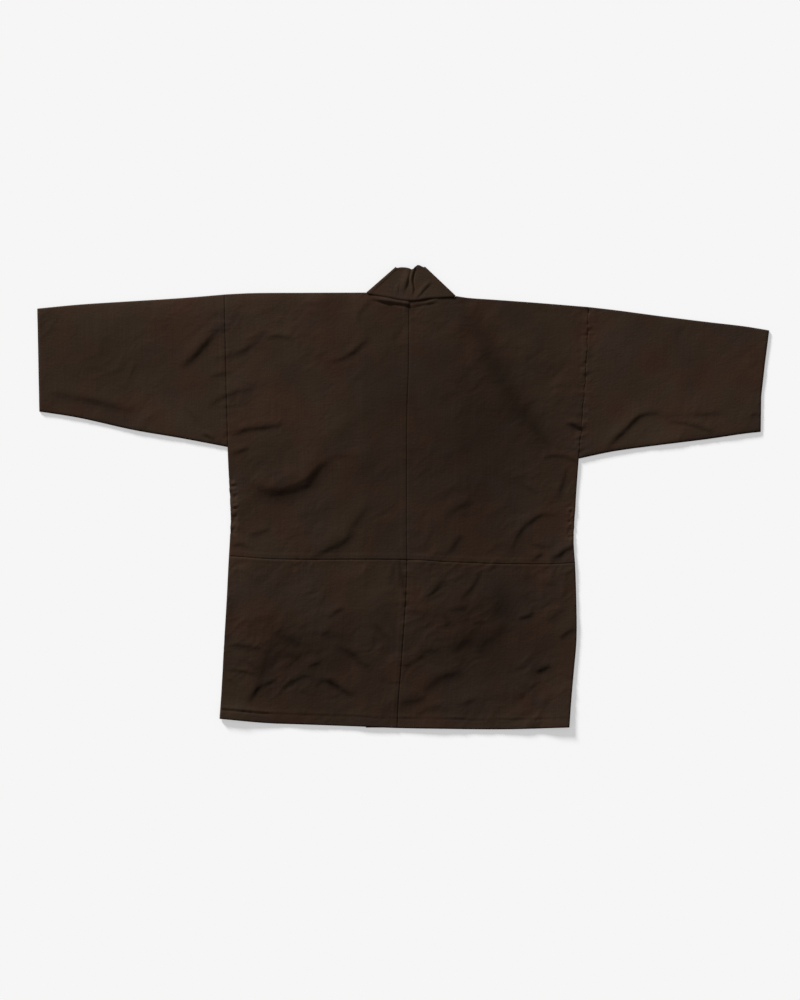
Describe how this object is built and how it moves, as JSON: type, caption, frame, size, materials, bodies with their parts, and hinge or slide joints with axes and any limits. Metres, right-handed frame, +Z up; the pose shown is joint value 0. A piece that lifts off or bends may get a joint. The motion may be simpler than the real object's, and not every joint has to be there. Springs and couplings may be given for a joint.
{
  "type": "kimono jacket laid flat",
  "caption": "Short straight-cut kimono jacket in dark brown cloth, laid out flat with its back up, with tapered sleeves and a turned-out collar band.",
  "frame": {"origin": "bottom centre of the jacket's box, on the surface that it lies on", "axes": "+X towards the wearer's right sleeve, along both sleeves; +Y from the hem to the neck; +Z up, out of the back of the jacket"},
  "size_m": [1.3544, 0.8589, 0.0082],
  "materials": {
    "cloth": "dark brown silk with a fine cross-thread weave and a low sheen",
    "collar_cloth": "the same dark brown silk, folded double and pressed"
  },
  "bodies": {
    "root": {"body_left": "cloth", "body_right": "cloth", "lower_back_left": "cloth", "lower_back_right": "cloth", "sleeve_left": "cloth", "sleeve_right": "cloth", "collar_band": "collar_cloth"}
  },
  "joints": []
}
